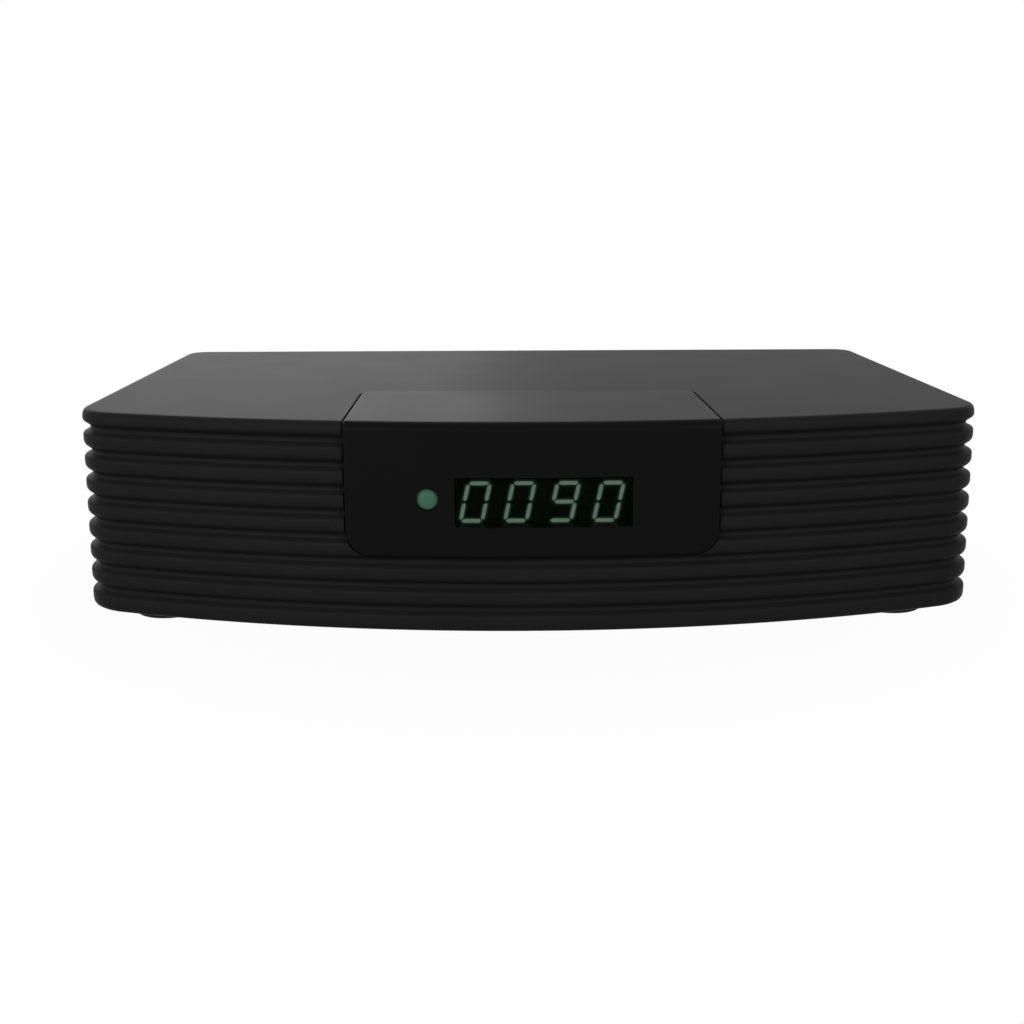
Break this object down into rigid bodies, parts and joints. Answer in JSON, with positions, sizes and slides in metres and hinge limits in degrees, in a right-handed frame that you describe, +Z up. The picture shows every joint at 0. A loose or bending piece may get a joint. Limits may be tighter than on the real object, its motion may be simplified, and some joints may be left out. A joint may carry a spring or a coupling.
{
  "type": "terrestrial tv receiver",
  "caption": "Small black set-top box with a bowed, ribbed front, an L-shaped front panel with a digit display and indicator light, rubber feet and rear sockets.",
  "frame": {"origin": "middle of the bounding box in plan, on the surface that the feet stand on", "axes": "+X to the right seen from the front, +Y from the bowed front to the rear panel, +Z up"},
  "size_m": [0.16, 0.118, 0.0378],
  "materials": {
    "cover_plastic": "fine-textured satin black moulding",
    "panel_plastic": "smooth low-gloss black",
    "smoked_window": "polished smoked green filter",
    "display_face": "matt black display body",
    "green_light": "diffused green lens",
    "black_plastic": "matt black",
    "white_plastic": "natural nylon",
    "plated_metal": "bright nickel plate",
    "screening_can": "tinned sheet steel",
    "aluminium": "plain extruded",
    "zinc_screw": "zinc plated",
    "circuit_board": "green solder resist",
    "chip": "matt moulding compound",
    "capacitor_sleeve": "shrink sleeve",
    "flat_cable": "grey flat cable",
    "rubber": "matt black"
  },
  "bodies": {
    "root": {"top_cover": "cover_plastic", "base_tray": "cover_plastic", "rear_panel": "cover_plastic", "front_panel": "panel_plastic", "display_window": "smoked_window", "display_module": "display_face", "indicator_light": "green_light", "infrared_receiver": "black_plastic", "display_board": "circuit_board", "display_cable": "flat_cable", "display_cable_socket": "white_plastic", "main_cable_socket": "white_plastic", "main_board": "circuit_board", "processor": "chip", "heat_sink": "aluminium", "memory_chip": "chip", "flash_chip": "chip", "crystal": "plated_metal", "power_inductor": "chip", "capacitor_1": "capacitor_sleeve", "capacitor_2": "capacitor_sleeve", "capacitor_3": "capacitor_sleeve", "tuner_can": "screening_can", "antenna_input": "plated_metal", "antenna_input_contact": "plated_metal", "antenna_output": "plated_metal", "antenna_output_pin": "plated_metal", "scart_socket": "black_plastic", "scart_contacts": "black_plastic", "video_socket": "plated_metal", "video_tongue": "black_plastic", "data_socket": "plated_metal", "data_tongue": "white_plastic", "power_socket": "black_plastic", "power_socket_pin": "plated_metal", "case_screw_1": "zinc_screw", "case_screw_2": "zinc_screw", "case_screw_3": "zinc_screw", "case_screw_4": "zinc_screw", "board_screw_1": "zinc_screw", "board_screw_2": "zinc_screw", "board_screw_3": "zinc_screw", "board_screw_4": "zinc_screw", "display_screw_1": "zinc_screw", "display_screw_2": "zinc_screw", "foot_1": "rubber", "foot_2": "rubber", "foot_3": "rubber", "foot_4": "rubber"}
  },
  "joints": []
}
